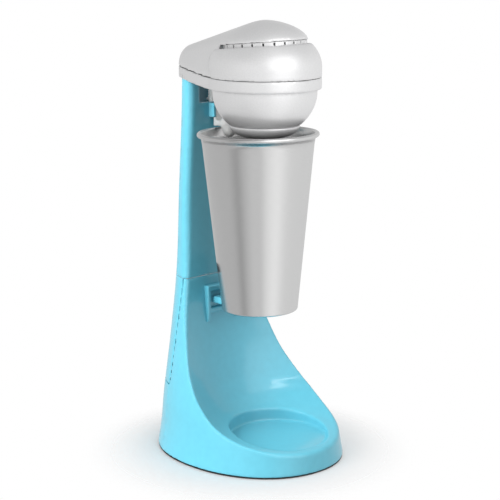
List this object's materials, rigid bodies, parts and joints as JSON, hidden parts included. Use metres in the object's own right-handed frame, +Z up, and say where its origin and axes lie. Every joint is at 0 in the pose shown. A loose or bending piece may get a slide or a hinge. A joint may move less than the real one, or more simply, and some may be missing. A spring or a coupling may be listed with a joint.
{
  "type": "milkshake mixer",
  "caption": "Single-spindle milkshake mixer with a scooped aqua base and column, a ball-shaped silver motor head, a cup-sensing lever and a tapered steel mixing cup.",
  "frame": {"origin": "centre of the footprint on the surface the rubber feet stand on", "axes": "+Z up, -Y towards the front (the cup side), +X to the right seen from the front's back"},
  "size_m": [0.146, 0.1766, 0.3767],
  "materials": {
    "aqua_plastic": "glossy moulded",
    "silver_plastic": "silver satin-gloss",
    "brushed_cup": "brushed",
    "white_plastic": "smooth",
    "black_plastic": "fine texture",
    "rubber": "matt",
    "zinc_steel": "zinc plated",
    "bright_steel": "polished",
    "bronze": "sintered",
    "copper": "enamelled",
    "ferrite": "dull",
    "carbon": "dull",
    "board": "solder mask",
    "wire_jacket": "smooth"
  },
  "bodies": {
    "stand": {"base_shell": "aqua_plastic", "base_rear_cover": "aqua_plastic", "base_plate": "black_plastic", "base_screws": "zinc_steel", "rubber_feet": "rubber", "cup_rest": "aqua_plastic", "cord_inlet_bush": "rubber", "column_shell": "aqua_plastic", "column_rear_cover": "aqua_plastic", "rear_cover_screws": "zinc_steel", "column_screws": "zinc_steel", "lever_guide": "aqua_plastic", "micro_switch": "black_plastic", "lower_housing": "silver_plastic", "upper_housing": "silver_plastic", "vent_ring": "silver_plastic", "top_cover": "silver_plastic", "housing_screws": "zinc_steel", "spindle_collar": "silver_plastic", "collar_screws": "zinc_steel", "spindle_bush": "bronze", "spindle_seal": "rubber", "motor_can": "zinc_steel", "motor_end_cap": "black_plastic", "motor_magnets": "ferrite", "lower_bearing": "bronze", "upper_bearing": "bronze", "brush_holders": "bronze", "carbon_brushes": "carbon", "brush_springs": "bright_steel", "motor_mount": "zinc_steel", "motor_grommets": "rubber", "motor_screws": "zinc_steel", "circuit_board": "board", "board_parts": "black_plastic", "board_screws": "zinc_steel", "speed_switch": "black_plastic", "supply_wires": "wire_jacket", "wire_clips": "black_plastic"},
    "spindle": {"motor_shaft": "bright_steel", "armature": "zinc_steel", "armature_windings": "copper", "commutator": "copper", "cooling_fan": "black_plastic", "shaft_coupling": "bright_steel", "agitator_rod": "bright_steel", "agitator_disc": "bright_steel", "aerator_disc": "bright_steel"},
    "lever": {"cup_lever": "white_plastic", "lever_nub": "white_plastic", "switch_plunger": "white_plastic", "lever_spring": "bright_steel"},
    "rocker": {"speed_rocker": "white_plastic"},
    "cup": {"mixing_cup": "brushed_cup"}
  },
  "joints": [
    {"name": "spindle_spin", "type": "hinge", "parent": "stand", "child": "spindle", "pos_m": [0, -0.0187, 0.25], "axis": [0, 0, 1], "continuous": true},
    {"name": "lever_press", "type": "slide", "parent": "stand", "child": "lever", "axis": [0, 0, 1], "range_m": [0, 0.002], "stiffness_N_per_m": 250, "springref_m": -0.002, "deforming": ["lever_spring"]},
    {"name": "rocker_tilt", "type": "hinge", "parent": "stand", "child": "rocker", "pos_m": [0, 0.0685, 0.276], "axis": [1, 0, 0], "range_deg": [-8, 8]},
    {"name": "cup_lower", "type": "slide", "parent": "stand", "child": "cup", "axis": [0, -0.2123, -0.9772], "range_m": [0, 0.111]}
  ]
}
